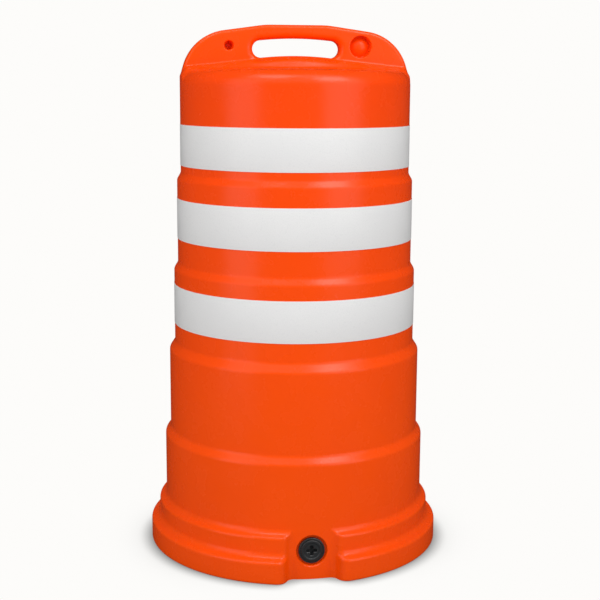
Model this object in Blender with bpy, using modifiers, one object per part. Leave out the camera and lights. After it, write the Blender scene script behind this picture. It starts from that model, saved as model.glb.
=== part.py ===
"""Water-ballasted traffic drum: a moulded hollow shell with a carrying handle, three reflective bands,
a screwed drain plug in the foot and a screwed fill cap on the deck behind the handle.

Frame: +Z up, origin on the floor at the centre of the foot, the drain faces -Y and the handle lies along X.
"""
import math

import bmesh
import bpy
from mathutils import Matrix, Vector

MM = 0.001
CUT_PAST = 5.0 * MM

# Colour and roughness of each material
ORANGE_POLYETHYLENE = ((0.90, 0.075, 0.002), 0.42)
WHITE_REFLECTIVE_SHEETING = ((0.78, 0.79, 0.80), 0.30)
BLACK_POLYPROPYLENE = ((0.018, 0.018, 0.020), 0.38)
BLACK_RUBBER = ((0.010, 0.010, 0.010), 0.75)

# Moulded shell
WALL = 3.5 * MM
STEPS_AROUND = 48
FOOT_RADIUS = 280.0 * MM
SHOULDER_HEIGHT = 904.5 * MM
CROWN_HEIGHT = 910.0 * MM
SHOULDER_FILLET = 27.0 * MM
FOOT_FILLET = 4.0 * MM
TIER_FILLET = 6.0 * MM
# Radius, upper edge and lower edge of each tier, from the top tier to the foot ring
TIERS = (
    (216.0 * MM, SHOULDER_HEIGHT, 715.0 * MM),
    (223.1 * MM, 703.0 * MM, 545.0 * MM),
    (230.4 * MM, 533.0 * MM, 394.0 * MM),
    (240.6 * MM, 378.5 * MM, 226.0 * MM),
    (250.5 * MM, 213.0 * MM, 88.5 * MM),
    (263.5 * MM, 81.0 * MM, 48.0 * MM),
    (FOOT_RADIUS, 40.5 * MM, 0.0),
)

# Handle plate, its rounded ridge and the hand slot
HANDLE_THICKNESS = 40.0 * MM
HANDLE_EDGE = 7.0 * MM
HANDLE_TOP = 988.0 * MM
HANDLE_TOP_HALF = 58.0 * MM
HANDLE_FOOT = 884.0 * MM
CORNER_RADIUS = 90.0 * MM
CORNER_X = 123.0 * MM
CORNER_Z = 887.1 * MM
CORNER_FROM = 12.0
CORNER_TO = 81.3
CORNER_STEPS = 8
RIDGE_HALF_LENGTH = 215.5 * MM
RIDGE_TOP = 930.5 * MM
RIDGE_SIDE = 20.0 * MM
RIDGE_BOTTOM = 860.0 * MM
# Ends of the ridge: how far each point lies in from the end, and its height
RIDGE_END = ((0.0, 893.0 * MM), (8.0 * MM, 909.5 * MM))
# Round crest of the ridge: distance from the middle, and drop below the top
RIDGE_CREST = ((60.0 * MM, 5.0 * MM), (25.0 * MM, 1.2 * MM), (0.0, 0.0))
SLOT_END_STEPS = 4
SLOT_ARCH_STEPS = 3
SLOT_HALF_LENGTH = 82.0 * MM
SLOT_HEIGHT = 32.0 * MM
SLOT_MIDDLE = 944.0 * MM
SLOT_ARCH = 3.6 * MM

# Moulded pockets in the front of the handle
PIN_POCKET_AT = (-125.8 * MM, 949.5 * MM)
PIN_POCKET_RADIUS = 8.0 * MM
PIN_POCKET_END = 5.0 * MM
PIN_POCKET_DEPTH = 22.0 * MM
ROUND_POCKET_AT = (121.6 * MM, 948.6 * MM)
ROUND_POCKET_RADIUS = 19.5 * MM
ROUND_POCKET_DEPTH = 12.0 * MM
ROUND_POCKET_DOME = 6.0 * MM
ROUND_POCKET_TAPER = 1.5 * MM
ROUND_POCKET_DOME_EDGE = 0.6

# Notch in the foot rings, in front of the drain
NOTCH_FLOOR_RADIUS = 250.8 * MM
NOTCH_HALF_INNER = 40.0 * MM
NOTCH_HALF_OUTER = 62.0 * MM
NOTCH_TOP = 95.0 * MM
NOTCH_BEHIND_FLOOR = 12.0 * MM
NOTCH_PAST_FOOT = 20.0 * MM

# Screw fittings: both threads have the same pitch
THREAD_PITCH = 4.0 * MM
THREAD_DEPTH = 1.3 * MM
THREAD_FLANK = 0.36 * THREAD_PITCH
THREAD_LAND = 0.12 * THREAD_PITCH
THREAD_SINK = 0.6 * MM
THREAD_END_RISE = 0.1 * MM
THREAD_END_GAP = 0.8 * MM
THREAD_STEPS = 24
THREAD_START = 0.37
FITTING_STEPS = 32
CLEARANCE = 0.4 * MM
SEAT_GAP = 0.3 * MM
HOLE_CUT = 30.0 * MM
FLANGE_EDGE = 1.2 * MM
SCREW_EDGE = 1.5 * MM
SEAL_EDGE = 0.25

# Drain: heights run out along -Y from the floor of the counterbore
DRAIN_HEIGHT = 53.0 * MM
COUNTERBORE_DEPTH = 8.0 * MM
COUNTERBORE_RADIUS = 25.6 * MM
COUNTERBORE_LIP = 29.5 * MM
COUNTERBORE_CUT = 23.0 * MM
DRAIN_SEAT_Y = -(NOTCH_FLOOR_RADIUS - COUNTERBORE_DEPTH)
DRAIN_BARREL_RADIUS = 18.0 * MM
DRAIN_THREAD_RADIUS = 14.6 * MM
DRAIN_FLANGE_RADIUS = 24.0 * MM
DRAIN_FLANGE_TOP = 6.0 * MM
DRAIN_POCKET_RADIUS = 20.2 * MM
DRAIN_POCKET_FLOOR = 2.3 * MM
DRAIN_BARREL_LENGTH = 22.0 * MM
DRAIN_SEAL_THICKNESS = 1.6 * MM
DRAIN_HEAD_TOP = 7.5 * MM
DRAIN_FACE_RADIUS = 14.8 * MM
DRAIN_FACE_DEPTH = 1.8 * MM
DRAIN_FACE_SLOPE = 1.0 * MM
DRAIN_KEY_LENGTH = 19.0 * MM
DRAIN_KEY_WIDTH = 6.5 * MM
DRAIN_KEY_DEPTH = 9.0 * MM
DRAIN_SHANK_LENGTH = 15.0 * MM

# Fill port: heights run up along +Z from the seat on the deck
FILL_Y = 115.0 * MM
FILL_SEAT_Z = 910.0 * MM
FILL_BOSS_RADIUS = 35.0 * MM
FILL_BOSS_EDGE = 2.0 * MM
FILL_BOSS_SINK = 5.0 * MM
FILL_BARREL_RADIUS = 24.0 * MM
FILL_THREAD_RADIUS = 20.0 * MM
FILL_FLANGE_RADIUS = 31.5 * MM
FILL_FLANGE_TOP = 3.8 * MM
FILL_BARREL_LENGTH = 24.0 * MM
FILL_SEAL_INNER = 20.9 * MM
FILL_SEAL_OUTER = 27.5 * MM
FILL_SEAL_THICKNESS = 1.8 * MM
FILL_CAP_RADIUS = 30.0 * MM
FILL_CAP_THICKNESS = 4.5 * MM
FILL_SHANK_LENGTH = 15.0 * MM
FILL_SHANK_WALL = 3.0 * MM
FILL_GRIP_SIZE = (46.0 * MM, 8.0 * MM, 11.0 * MM)
FILL_GRIP_SINK = 1.0 * MM
FILL_GRIP_EDGE = 2.0 * MM

# Reflective bands
BAND_HEIGHT = 76.0 * MM
BAND_THICKNESS = 0.5 * MM
BAND_OVERLAP = 16.0 * MM
BAND_LAP_GAP = 0.15 * MM
BAND_MIDDLES = (767.2 * MM, 630.2 * MM, 468.0 * MM)
BAND_NAMES = ("upper_reflective_band", "middle_reflective_band", "lower_reflective_band")


def clear_scene():
    for obj in list(bpy.data.objects):
        bpy.data.objects.remove(obj, do_unlink=True)


def new_collection(name, hidden=False):
    made = bpy.data.collections.new(name)
    made.hide_render = hidden
    bpy.context.scene.collection.children.link(made)
    return made


clear_scene()
PARTS = new_collection("traffic_drum")
CUTTERS = new_collection("cutters", hidden=True)


def make_material(name, finish):
    """A plain plastic or rubber of the given colour and roughness."""
    color, roughness = finish
    material = bpy.data.materials.new(name)
    material.use_nodes = True
    shader = material.node_tree.nodes["Principled BSDF"]
    shader.inputs["Base Color"].default_value = (*color, 1.0)
    shader.inputs["Roughness"].default_value = roughness
    shader.inputs["Metallic"].default_value = 0.0
    return material


# Objects

def add_part(mesh, name, material):
    """A visible sub-part: one node of the drum."""
    obj = bpy.data.objects.new(name, mesh)
    PARTS.objects.link(obj)
    obj.data.materials.append(material)
    return obj


def add_cutter(mesh, name):
    """A helper that only shapes a part, and is never rendered."""
    obj = bpy.data.objects.new(name, mesh)
    CUTTERS.objects.link(obj)
    obj.hide_render = True
    obj.display_type = "WIRE"
    return obj


def add_axis(name, location, rotation=(0.0, 0.0, 0.0)):
    """An empty whose +Z is the line that a screw fitting turns about and travels along."""
    empty = bpy.data.objects.new(name, None)
    PARTS.objects.link(empty)
    empty.location = location
    empty.rotation_euler = rotation
    return empty


def combine(obj, other, operation):
    modifier = obj.modifiers.new(f"{operation.lower()}_{other.name}", "BOOLEAN")
    modifier.object = other
    modifier.operation = operation
    modifier.solver = "EXACT"


def join(obj, *others):
    for other in others:
        combine(obj, other, "UNION")


def cut(obj, *others):
    for other in others:
        combine(obj, other, "DIFFERENCE")


def smooth(obj, angle=32.0):
    """Smooth shading on round pieces, with edges sharper than the angle kept crisp."""
    obj.data.shade_smooth()
    obj.data.set_sharp_from_angle(angle=math.radians(angle))


# Outlines

def arc_points(centre, start, end, steps):
    """Points from start to end turning about centre, both ends included."""
    first = Vector(start) - Vector(centre)
    last = Vector(end) - Vector(centre)
    turn = math.atan2(first.cross(last), first.dot(last))
    return [Vector(centre) + Matrix.Rotation(turn * k / steps, 2) @ first for k in range(steps + 1)]


def filleted(corners, step_angle=45.0):
    """An open outline through corners (x, z, fillet radius), with each fillet drawn as an arc."""
    points = [Vector(corners[0][:2])]
    for before, corner, after in zip(corners, corners[1:], corners[2:]):
        here = Vector(corner[:2])
        back = (Vector(before[:2]) - here).normalized()
        ahead = (Vector(after[:2]) - here).normalized()
        half = math.acos(max(-1.0, min(1.0, back.dot(ahead)))) / 2
        radius = corner[2]
        if radius == 0.0:
            points.append(here)
            continue
        reach = radius / math.tan(half)
        centre = here + (back + ahead).normalized() * radius / math.sin(half)
        turn = 180.0 - math.degrees(2 * half)
        steps = max(1, round(turn / step_angle))
        points += arc_points(centre, here + back * reach, here + ahead * reach, steps)
    points.append(Vector(corners[-1][:2]))
    return points


def shell_outline(inset):
    """Half section of the drum, from the crown down the outer side to the floor, moved in by inset."""
    corners = [(0.0, CROWN_HEIGHT - inset, 0.0)]
    for radius, upper, lower in TIERS:
        fillet = TIER_FILLET if inset == 0.0 else 0.0
        upper_fillet = SHOULDER_FILLET - inset if upper == SHOULDER_HEIGHT else fillet
        lower_fillet = FOOT_FILLET if lower == 0.0 else fillet
        upper_edge = upper - (inset if upper == SHOULDER_HEIGHT else inset / 2)
        lower_edge = lower + inset if lower == 0.0 else lower - inset / 2
        corners.append((radius - inset, upper_edge, upper_fillet))
        corners.append((radius - inset, lower_edge, lower_fillet))
    corners.append((0.0, inset, 0.0))
    return filleted(corners)


def mirrored(half):
    """A closed outline from its right half, which runs from the bottom up to the middle."""
    left = [Vector((-point.x, point.y)) for point in reversed(half) if point.x > 0.0]
    return half + left


def handle_outline(inset):
    """Front view of the handle plate: large rounded corners under a flat top."""
    centre = Vector((CORNER_X, CORNER_Z))
    radius = CORNER_RADIUS - inset
    low, high = (
        centre + radius * Vector((math.cos(math.radians(a)), math.sin(math.radians(a))))
        for a in (CORNER_FROM, CORNER_TO)
    )
    corner = arc_points(centre, low, high, CORNER_STEPS)
    foot = Vector((low.x, HANDLE_FOOT))
    flat_end = Vector((HANDLE_TOP_HALF, HANDLE_TOP - inset))
    return mirrored([foot, *corner, flat_end])


def ridge_outline(inset):
    """Front view of the rounded ridge that the handle stands on: a low gable with a round crest."""
    half = RIDGE_HALF_LENGTH - inset
    end = [Vector((half - lean, height - inset)) for lean, height in RIDGE_END]
    crest = [Vector((x, RIDGE_TOP - drop - inset)) for x, drop in RIDGE_CREST]
    return mirrored([Vector((half, RIDGE_BOTTOM)), *end, *crest])


def slot_outline(growth):
    """Front view of the hand slot: a long hole with round ends, arched a little upwards."""
    radius = SLOT_HEIGHT / 2 + growth
    end_x = SLOT_HALF_LENGTH - SLOT_HEIGHT / 2
    centre = Vector((end_x, SLOT_MIDDLE))
    below = centre + Vector((0.0, -radius))
    above = centre + Vector((0.0, radius))
    side = centre + Vector((radius, 0.0))
    lower_end = arc_points(centre, below, side, SLOT_END_STEPS)
    upper_end = arc_points(centre, side, above, SLOT_END_STEPS)[1:]
    arch_x = [end_x * k / SLOT_ARCH_STEPS for k in range(SLOT_ARCH_STEPS)]
    upper = [Vector((x, SLOT_MIDDLE + radius + slot_arch(x, end_x))) for x in reversed(arch_x)]
    lower = [Vector((x, SLOT_MIDDLE - radius + slot_arch(x, end_x))) for x in arch_x]
    right = lower + lower_end + upper_end + upper
    left = [Vector((-point.x, point.y)) for point in reversed(right) if point.x > 0.0]
    return right + left


def slot_arch(x, end_x):
    """How far the slot's edges rise at x: most in the middle, and nothing at its ends."""
    return SLOT_ARCH * (1.0 - (x / end_x) ** 2)


# Meshes

def turned(name, outline):
    """A mesh that holds one half section in the XZ plane, for a Screw modifier about Z."""
    mesh = bpy.data.meshes.new(name)
    points = [(point[0], 0.0, point[1]) for point in outline]
    edges = [(k, k + 1) for k in range(len(points) - 1)]
    mesh.from_pydata(points, edges, [])
    return mesh


def spin(obj, steps):
    """Turns a half section a full circle about Z."""
    modifier = obj.modifiers.new("turn", "SCREW")
    modifier.axis = "Z"
    modifier.steps = steps
    modifier.render_steps = steps
    modifier.use_merge_vertices = True
    modifier.merge_threshold = 0.01 * MM
    return obj


def ring(outline):
    """A half section that closes on itself, for a turned piece with a hole through it."""
    return [*outline, outline[0]]


def upright_face(name, outline, y):
    """One face in a plane of constant Y, seen from -Y."""
    mesh = bpy.data.meshes.new(name)
    shape = bmesh.new()
    face = shape.faces.new([shape.verts.new((point[0], y, point[1])) for point in outline])
    face.normal_update()
    if face.normal.y > 0.0:
        face.normal_flip()
    shape.to_mesh(mesh)
    shape.free()
    return mesh


def thicken(obj, thickness, rounding=0.0, segments=2):
    """Makes a face a plate that reaches back by its thickness, with its outline edges rounded."""
    solid = obj.modifiers.new("thickness", "SOLIDIFY")
    solid.thickness = thickness
    solid.offset = -1.0
    if rounding > 0.0:
        bevel = obj.modifiers.new("rounding", "BEVEL")
        bevel.width = rounding
        bevel.segments = segments
        bevel.limit_method = "ANGLE"
        bevel.angle_limit = math.radians(75.0)
    return obj


def upright_plate(name, outline, thickness, rounding=0.0, segments=2):
    """A rounded plate centred on the plane Y = 0."""
    obj = add_cutter(upright_face(name, outline, -thickness / 2), name)
    return thicken(obj, thickness, rounding, segments)


def prism(name, outline, low, high):
    """A solid over a closed plan outline, from height low to height high."""
    mesh = bpy.data.meshes.new(name)
    shape = bmesh.new()
    face = shape.faces.new([shape.verts.new((point[0], point[1], low)) for point in outline])
    raised = bmesh.ops.extrude_face_region(shape, geom=[face])["geom"]
    lifted = [item for item in raised if isinstance(item, bmesh.types.BMVert)]
    bmesh.ops.translate(shape, verts=lifted, vec=(0.0, 0.0, high - low))
    bmesh.ops.recalc_face_normals(shape, faces=shape.faces)
    shape.to_mesh(mesh)
    shape.free()
    return mesh


def box_mesh(name, size, centre):
    mesh = bpy.data.meshes.new(name)
    shape = bmesh.new()
    bmesh.ops.create_cube(shape, size=1.0)
    bmesh.ops.scale(shape, vec=size, verts=shape.verts)
    bmesh.ops.translate(shape, vec=centre, verts=shape.verts)
    shape.to_mesh(mesh)
    shape.free()
    return mesh


def thread_mesh(name, crest, depth, low, high):
    """A helical ridge, right-handed about +Z, that sinks into its shank at both ends."""
    root = crest - depth
    buried = root - THREAD_SINK
    turns = (high - low) / THREAD_PITCH - 1.0
    count = round(turns * THREAD_STEPS)
    fade = THREAD_STEPS // 4
    shape = bmesh.new()
    sections = []
    for k in range(count + 1):
        angle = 2 * math.pi * (k + THREAD_START) / THREAD_STEPS
        middle = low + THREAD_PITCH * (0.5 + k / THREAD_STEPS)
        rise = min(1.0, k / fade, (count - k) / fade)
        tip = buried + max(THREAD_END_RISE, (crest - buried) * rise)
        outline = [(buried, -THREAD_FLANK), (tip, -THREAD_LAND), (tip, THREAD_LAND), (buried, THREAD_FLANK)]
        around = Vector((math.cos(angle), math.sin(angle), 0.0))
        section = [shape.verts.new(around * r + Vector((0.0, 0.0, middle + z))) for r, z in outline]
        sections.append(section)
    for lower, upper in zip(sections, sections[1:]):
        for k in range(4):
            n = (k + 1) % 4
            shape.faces.new((lower[k], lower[n], upper[n], upper[k]))
    shape.faces.new(sections[0])
    shape.faces.new(list(reversed(sections[-1])))
    bmesh.ops.recalc_face_normals(shape, faces=shape.faces)
    mesh = bpy.data.meshes.new(name)
    shape.to_mesh(mesh)
    shape.free()
    return mesh


# Moulded shell

def facing_front(obj, x, y, z):
    """Stands a turned cutter on the front: its +Z becomes -Y."""
    obj.location = (x, y, z)
    obj.rotation_euler = (math.radians(90.0), 0.0, 0.0)
    return obj


def front_pocket(name, outline, at):
    """A turned cutter in the front face of the handle, its depth measured from that face."""
    obj = spin(add_cutter(turned(name, outline), name), FITTING_STEPS)
    return facing_front(obj, at[0], -HANDLE_THICKNESS / 2, at[1])


def pin_pocket(growth):
    """The small tapered pocket; growth makes it the outside of its own wall."""
    depth = PIN_POCKET_DEPTH + growth
    outline = [
        (0.0, CUT_PAST),
        (PIN_POCKET_RADIUS + growth, CUT_PAST),
        (PIN_POCKET_RADIUS + growth, 0.0),
        (PIN_POCKET_END + growth, -depth),
        (0.0, -depth),
    ]
    name = "pin_pocket" if growth == 0.0 else "pin_pocket_wall"
    return front_pocket(name, outline, PIN_POCKET_AT)


def round_pocket(growth):
    """The large shallow pocket with a domed floor; growth makes it the outside of its own wall."""
    depth = ROUND_POCKET_DEPTH + growth
    radius = ROUND_POCKET_RADIUS + growth
    outline = [
        (0.0, CUT_PAST),
        (radius, CUT_PAST),
        (radius, 0.0),
        (radius - ROUND_POCKET_TAPER, -depth),
        (radius * ROUND_POCKET_DOME_EDGE, ROUND_POCKET_DOME / 3 - depth),
        (0.0, ROUND_POCKET_DOME - depth),
    ]
    name = "round_pocket" if growth == 0.0 else "round_pocket_wall"
    return front_pocket(name, outline, ROUND_POCKET_AT)


def notch(growth):
    """The gap in the foot rings: a wedge that opens to the front and stops at the wall behind it."""
    name = "notch" if growth == 0.0 else "notch_wall"
    slope = (NOTCH_HALF_OUTER - NOTCH_HALF_INNER) / (FOOT_RADIUS - NOTCH_FLOOR_RADIUS)
    side = growth * math.sqrt(1.0 + slope**2)
    inner_y = -NOTCH_FLOOR_RADIUS + NOTCH_BEHIND_FLOOR
    outer_y = -FOOT_RADIUS - NOTCH_PAST_FOOT
    inner_half = NOTCH_HALF_INNER - slope * NOTCH_BEHIND_FLOOR + side
    outer_half = NOTCH_HALF_OUTER + slope * NOTCH_PAST_FOOT + side
    plan = [(-inner_half, inner_y), (-outer_half, outer_y), (outer_half, outer_y), (inner_half, inner_y)]
    wedge = add_cutter(prism(name, plan, -CUT_PAST, NOTCH_TOP + growth), name)
    core_radius = NOTCH_FLOOR_RADIUS - growth
    core_top = NOTCH_TOP + growth + CUT_PAST
    keep = [(0.0, core_top), (core_radius, core_top), (core_radius, -2 * CUT_PAST), (0.0, -2 * CUT_PAST)]
    core = spin(add_cutter(turned(f"{name}_core", keep), f"{name}_core"), STEPS_AROUND)
    cut(wedge, core)
    return wedge


def drain_counterbore(growth):
    """The round recess in front of the drain, with a wide soft lip."""
    name = "drain_counterbore" if growth == 0.0 else "drain_counterbore_wall"
    outline = [
        (0.0, COUNTERBORE_CUT),
        (COUNTERBORE_LIP + growth, COUNTERBORE_CUT),
        (COUNTERBORE_LIP + growth, COUNTERBORE_DEPTH),
        (COUNTERBORE_RADIUS + growth, 0.5 * COUNTERBORE_DEPTH),
        (COUNTERBORE_RADIUS + growth, -growth),
        (0.0, -growth),
    ]
    obj = spin(add_cutter(turned(name, outline), name), FITTING_STEPS)
    return facing_front(obj, 0.0, DRAIN_SEAT_Y, DRAIN_HEIGHT)


def hole(name, radius, length):
    """A plain round cutter centred on its origin, along its own Z."""
    outline = [(0.0, length), (radius, length), (radius, -length), (0.0, -length)]
    return spin(add_cutter(turned(name, outline), name), FITTING_STEPS)


def tank_cavity():
    """The hollow inside the shell: the tank, the ridge and the handle, less the walls of each pocket."""
    cavity = spin(add_cutter(turned("tank_cavity", shell_outline(WALL)), "tank_cavity"), STEPS_AROUND)
    ridge_side = RIDGE_SIDE - WALL
    ridge_thickness = HANDLE_THICKNESS + 2 * RIDGE_SIDE - 2 * WALL
    ridge = upright_plate("ridge_cavity", ridge_outline(WALL), ridge_thickness, ridge_side)
    handle_thickness = HANDLE_THICKNESS - 2 * WALL
    handle = upright_plate("handle_cavity", handle_outline(WALL), handle_thickness, HANDLE_EDGE - WALL)
    slot_wall = upright_plate("slot_wall", slot_outline(WALL), 2 * HANDLE_THICKNESS)
    join(cavity, ridge, handle)
    cut(cavity, slot_wall, pin_pocket(WALL), round_pocket(WALL), notch(WALL), drain_counterbore(WALL))
    return cavity


def fill_boss():
    """The flat round seat that the fill neck sits on."""
    outline = [
        (0.0, 0.0),
        (FILL_BOSS_RADIUS - FILL_BOSS_EDGE, 0.0),
        (FILL_BOSS_RADIUS, -FILL_BOSS_EDGE),
        (FILL_BOSS_RADIUS, -FILL_BOSS_SINK),
        (0.0, -FILL_BOSS_SINK),
    ]
    boss = spin(add_cutter(turned("fill_boss", outline), "fill_boss"), FITTING_STEPS)
    boss.location = (0.0, FILL_Y, FILL_SEAT_Z)
    return boss


def drum_shell(material):
    """The one-piece moulding: stepped drum, ridge and handle with its slot, all hollow."""
    shell = spin(add_part(turned("drum_shell", shell_outline(0.0)), "drum_shell", material), STEPS_AROUND)
    ridge_thickness = HANDLE_THICKNESS + 2 * RIDGE_SIDE
    ridge = upright_plate("ridge", ridge_outline(0.0), ridge_thickness, RIDGE_SIDE, segments=3)
    handle = upright_plate("handle", handle_outline(0.0), HANDLE_THICKNESS, HANDLE_EDGE)
    slot = upright_plate("hand_slot", slot_outline(0.0), 4 * HANDLE_THICKNESS)
    drain_hole = hole("drain_hole", DRAIN_BARREL_RADIUS + SEAT_GAP, HOLE_CUT)
    facing_front(drain_hole, 0.0, DRAIN_SEAT_Y, DRAIN_HEIGHT)
    fill_hole = hole("fill_hole", FILL_BARREL_RADIUS + SEAT_GAP, HOLE_CUT)
    fill_hole.location = (0.0, FILL_Y, FILL_SEAT_Z)
    join(shell, ridge, handle, fill_boss())
    cut(shell, slot, pin_pocket(0.0), round_pocket(0.0), notch(0.0), drain_counterbore(0.0))
    cut(shell, tank_cavity(), drain_hole, fill_hole)
    return shell


# Reflective bands

def band_outline(radius):
    """Plan of a strip laid once round the drum, its end lapped over its start at the back."""
    inner = radius + SEAT_GAP
    lapped = inner + BAND_THICKNESS + BAND_LAP_GAP
    turn = 2 * math.pi / STEPS_AROUND
    back = math.pi / 2
    path = [(back + k * turn, inner) for k in range(STEPS_AROUND)]
    path.append((back + 2 * math.pi, lapped))
    path.append((back + 2 * math.pi + BAND_OVERLAP / radius, lapped))
    inside = [around(angle, r) for angle, r in path]
    outside = [around(angle, r + BAND_THICKNESS) for angle, r in path]
    return outside + list(reversed(inside))


def around(angle, radius):
    """A point on a circle about the drum's axis, seen from above."""
    return (radius * math.cos(angle), radius * math.sin(angle))


def reflective_band(name, radius, middle, material):
    low = middle - BAND_HEIGHT / 2
    return add_part(prism(name, band_outline(radius), low, low + BAND_HEIGHT), name, material)


# Drain fitting

def fitted(name, outline, axis, material):
    """A turned piece with a hole through it, on its fitting's axis."""
    obj = spin(add_part(turned(name, ring(outline)), name, material), FITTING_STEPS)
    obj.parent = axis
    return obj


def drain_bushing(axis, material):
    """The threaded insert in the shell: a flange with a pocket for the plug, and a barrel into the tank."""
    bore = DRAIN_THREAD_RADIUS + CLEARANCE
    outline = [
        (DRAIN_FLANGE_RADIUS - FLANGE_EDGE, DRAIN_FLANGE_TOP),
        (DRAIN_FLANGE_RADIUS, DRAIN_FLANGE_TOP - FLANGE_EDGE),
        (DRAIN_FLANGE_RADIUS, SEAT_GAP),
        (DRAIN_BARREL_RADIUS, SEAT_GAP),
        (DRAIN_BARREL_RADIUS, -DRAIN_BARREL_LENGTH),
        (bore, -DRAIN_BARREL_LENGTH),
        (bore, DRAIN_POCKET_FLOOR),
        (DRAIN_POCKET_RADIUS, DRAIN_POCKET_FLOOR),
        (DRAIN_POCKET_RADIUS, DRAIN_FLANGE_TOP),
    ]
    return fitted("drain_bushing", outline, axis, material)


def seal_outline(inner, outer, bottom, thickness):
    """Section of a flat sealing washer."""
    edge = SEAL_EDGE * thickness
    top = bottom + thickness
    return [
        (outer - edge, top),
        (outer, top - edge),
        (outer, bottom + edge),
        (outer - edge, bottom),
        (inner, bottom),
        (inner, top),
    ]


def drain_gasket(axis, material):
    bottom = DRAIN_POCKET_FLOOR + SEAT_GAP
    inner = DRAIN_THREAD_RADIUS + 2 * CLEARANCE
    outer = DRAIN_POCKET_RADIUS - CLEARANCE
    outline = seal_outline(inner, outer, bottom, DRAIN_SEAL_THICKNESS)
    return fitted("drain_gasket", outline, axis, material)


def shank(obj, axis, crest, low, high):
    """Joins a screw thread to a plug whose plain shank lies below it."""
    name = f"{obj.name}_thread"
    helix = add_cutter(thread_mesh(name, crest, THREAD_DEPTH, low, high), name)
    helix.parent = axis
    join(obj, helix)


def cross_outline(reach, half_width):
    """Plan of a plus-shaped key recess."""
    arm = [(reach, -half_width), (reach, half_width), (half_width, half_width)]
    turns = [Matrix.Rotation(k * math.pi / 2, 2) for k in range(4)]
    return [turn @ Vector(point) for turn in turns for point in arm]


def drain_plug(axis, material):
    """The screw plug: a round head with a cross-shaped key recess, and a threaded shank."""
    under_head = DRAIN_POCKET_FLOOR + 2 * SEAT_GAP + DRAIN_SEAL_THICKNESS
    head_radius = DRAIN_POCKET_RADIUS - CLEARANCE
    root = DRAIN_THREAD_RADIUS - THREAD_DEPTH
    tip = under_head - DRAIN_SHANK_LENGTH
    face = DRAIN_HEAD_TOP - DRAIN_FACE_DEPTH
    outline = [
        (0.0, face),
        (DRAIN_FACE_RADIUS, face),
        (DRAIN_FACE_RADIUS + DRAIN_FACE_SLOPE, DRAIN_HEAD_TOP),
        (head_radius - SCREW_EDGE, DRAIN_HEAD_TOP),
        (head_radius, DRAIN_HEAD_TOP - SCREW_EDGE),
        (head_radius, under_head),
        (root, under_head),
        (root, tip + SCREW_EDGE),
        (root - SCREW_EDGE, tip),
        (0.0, tip),
    ]
    plug = spin(add_part(turned("drain_plug", outline), "drain_plug", material), FITTING_STEPS)
    plug.parent = axis
    thread_low = tip + SCREW_EDGE + THREAD_END_GAP
    shank(plug, axis, DRAIN_THREAD_RADIUS, thread_low, under_head - THREAD_END_GAP)
    key_outline = cross_outline(DRAIN_KEY_LENGTH / 2, DRAIN_KEY_WIDTH / 2)
    key_mesh = prism("drain_key", key_outline, face - DRAIN_KEY_DEPTH, face + DRAIN_KEY_DEPTH)
    key = add_cutter(key_mesh, "drain_key")
    key.parent = axis
    cut(plug, key)
    return plug


# Fill fitting

def fill_neck(axis, material):
    """The threaded neck in the deck: a flange on the boss, and a barrel into the tank."""
    bore = FILL_THREAD_RADIUS + CLEARANCE
    outline = [
        (FILL_FLANGE_RADIUS - FLANGE_EDGE, FILL_FLANGE_TOP),
        (FILL_FLANGE_RADIUS, FILL_FLANGE_TOP - FLANGE_EDGE),
        (FILL_FLANGE_RADIUS, SEAT_GAP),
        (FILL_BARREL_RADIUS, SEAT_GAP),
        (FILL_BARREL_RADIUS, -FILL_BARREL_LENGTH),
        (bore, -FILL_BARREL_LENGTH),
        (bore, FILL_FLANGE_TOP),
    ]
    return fitted("fill_neck", outline, axis, material)


def fill_gasket(axis, material):
    bottom = FILL_FLANGE_TOP + SEAT_GAP
    outline = seal_outline(FILL_SEAL_INNER, FILL_SEAL_OUTER, bottom, FILL_SEAL_THICKNESS)
    return fitted("fill_gasket", outline, axis, material)


def fill_cap(axis, material):
    """The screw cap: a disc with a grip bar across it, and a hollow threaded shank."""
    under_cap = FILL_FLANGE_TOP + 2 * SEAT_GAP + FILL_SEAL_THICKNESS
    top = under_cap + FILL_CAP_THICKNESS
    root = FILL_THREAD_RADIUS - THREAD_DEPTH
    tip = under_cap - FILL_SHANK_LENGTH
    hollow = root - FILL_SHANK_WALL
    outline = [
        (0.0, top),
        (FILL_CAP_RADIUS - SCREW_EDGE, top),
        (FILL_CAP_RADIUS, top - SCREW_EDGE),
        (FILL_CAP_RADIUS, under_cap),
        (root, under_cap),
        (root, tip),
        (hollow, tip),
        (hollow, under_cap),
        (0.0, under_cap),
    ]
    cap = spin(add_part(turned("fill_cap", outline), "fill_cap", material), FITTING_STEPS)
    cap.parent = axis
    shank(cap, axis, FILL_THREAD_RADIUS, tip + THREAD_END_GAP, under_cap - THREAD_END_GAP)
    grip_centre = (0.0, 0.0, top - FILL_GRIP_SINK + FILL_GRIP_SIZE[2] / 2)
    grip = add_cutter(box_mesh("fill_cap_grip", FILL_GRIP_SIZE, grip_centre), "fill_cap_grip")
    grip.parent = axis
    bevel = grip.modifiers.new("rounding", "BEVEL")
    bevel.width = FILL_GRIP_EDGE
    bevel.segments = 1
    join(cap, grip)
    return cap


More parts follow.
